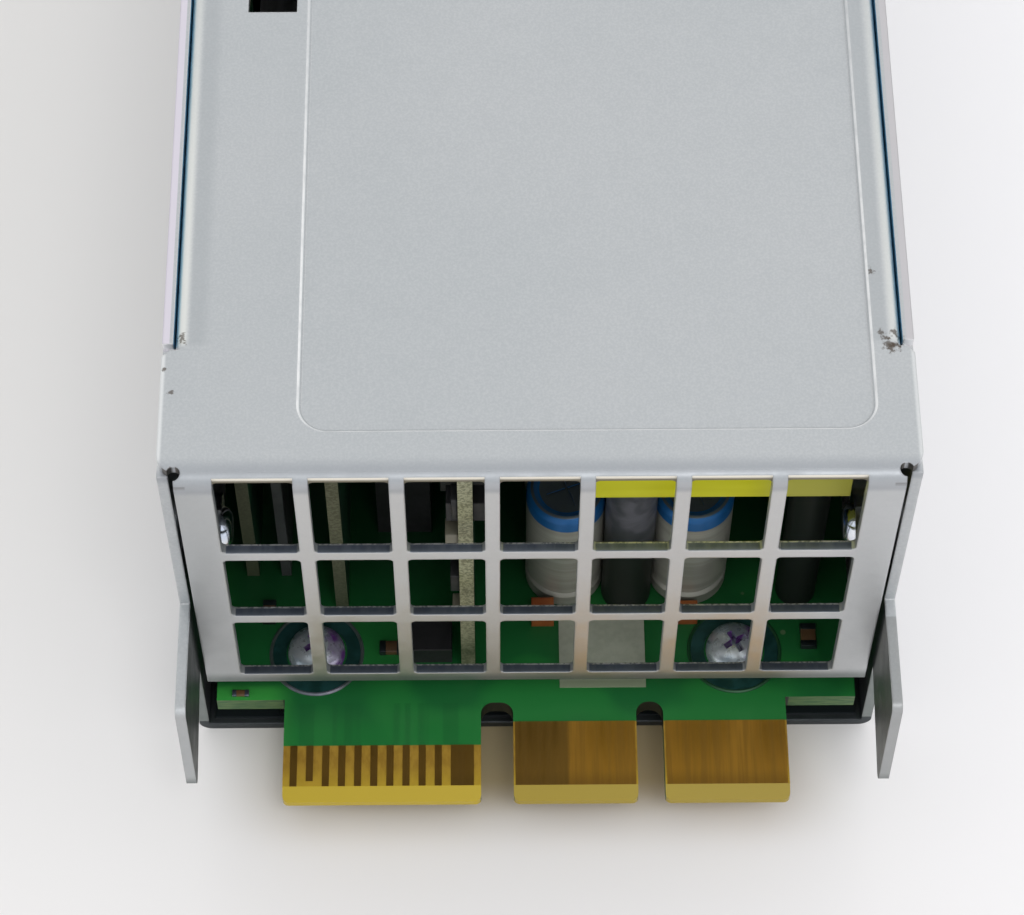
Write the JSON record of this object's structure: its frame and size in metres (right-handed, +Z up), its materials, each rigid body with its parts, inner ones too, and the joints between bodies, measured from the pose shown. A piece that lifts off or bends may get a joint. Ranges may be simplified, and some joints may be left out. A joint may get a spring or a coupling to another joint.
{
  "type": "hot swap server power supply",
  "caption": "Slim hot swap power supply in a folded steel case: card edge and grille at one end, inlet, pull bail and release latch at the other.",
  "frame": {"origin": "on the underside of the case, midway along it between the grille face and the front panel face, and midway across it", "axes": "+Z up, +Y from the card edge towards the handle, +X to the right seen from the connector end"},
  "size_m": [0.056, 0.2395, 0.04],
  "materials": {
    "aluminium": "plain",
    "black_moulding": "satin",
    "blue_moulding": "dipped",
    "can_aluminium": "drawn can",
    "clear_glass": "clear",
    "copper": "enamelled copper",
    "ferrite": "sintered",
    "film": "satin",
    "gold": "hard gold plating",
    "green_board": "satin solder mask",
    "green_moulding": "satin",
    "grey_moulding": "satin",
    "label": "paper",
    "orange_moulding": "satin",
    "sheet_steel": "galvanised, fine spangle",
    "spring_steel": "nickel plated",
    "wire_cover": "insulation",
    "yellow_tape": "polyester tape",
    "zinc": "bright zinc"
  },
  "bodies": {
    "supply": {"board_label": "label", "board_screws": "zinc", "board_standoffs": "zinc", "bridge_rectifier": "black_moulding", "bulk_capacitor": "black_moulding", "card_components": "black_moulding", "chassis_tray": "sheet_steel", "control_card": "green_board", "cover_nuts": "zinc", "cover_screws": "zinc", "driver_card": "green_board", "fan_baffle": "sheet_steel", "fan_frame": "black_moulding", "fan_leads": "wire_cover", "fan_motor": "copper", "fan_screws": "zinc", "front_panel": "sheet_steel", "heat_spreader": "aluminium", "inlet_body": "black_moulding", "inlet_pins": "zinc", "inlet_wires": "wire_cover", "insulator_sheet": "film", "latch_bracket": "sheet_steel", "latch_pin": "spring_steel", "latch_spring": "spring_steel", "line_choke_core": "ferrite", "line_choke_winding": "copper", "line_fuse": "clear_glass", "main_board": "green_board", "main_transformer_core": "ferrite", "main_transformer_winding": "yellow_tape", "output_capacitors": "can_aluminium", "output_choke_core": "ferrite", "output_choke_legs": "grey_moulding", "output_choke_tape": "yellow_tape", "panel_screws": "zinc", "pfc_choke_core": "ferrite", "pfc_choke_winding": "copper", "power_pads": "gold", "power_transistors": "black_moulding", "primary_heat_sink": "aluminium", "rectifier_card": "green_board", "relay": "black_moulding", "signal_fingers": "gold", "standby_transformer_core": "ferrite", "standby_transformer_winding": "yellow_tape", "status_lens": "clear_glass", "tantalum_capacitors": "orange_moulding", "thermistor": "black_moulding", "top_cover": "sheet_steel", "transistor_screws": "zinc", "x_capacitors": "grey_moulding", "y_capacitors": "blue_moulding"},
    "rotor": {"fan_rotor": "black_moulding"},
    "bail": {"pull_bail": "spring_steel", "bail_grip": "black_moulding"},
    "latch": {"release_lever": "spring_steel", "release_tab": "green_moulding"}
  },
  "joints": [
    {"name": "fan_spin", "type": "hinge", "parent": "supply", "child": "rotor", "pos_m": [0, 0.06175, 0.02], "axis": [0, 1, 0], "continuous": true},
    {"name": "bail_swing", "type": "hinge", "parent": "supply", "child": "bail", "pos_m": [0, 0.11575, 0.033], "axis": [1, 0, 0], "range_deg": [0, 90]},
    {"name": "latch_release", "type": "hinge", "parent": "supply", "child": "latch", "pos_m": [0.02325, 0.05775, 0.02], "axis": [0, 0, 1], "range_deg": [0, 3.5], "stiffness_Nm_per_rad": 1.2, "springref_deg": -2.86}
  ]
}
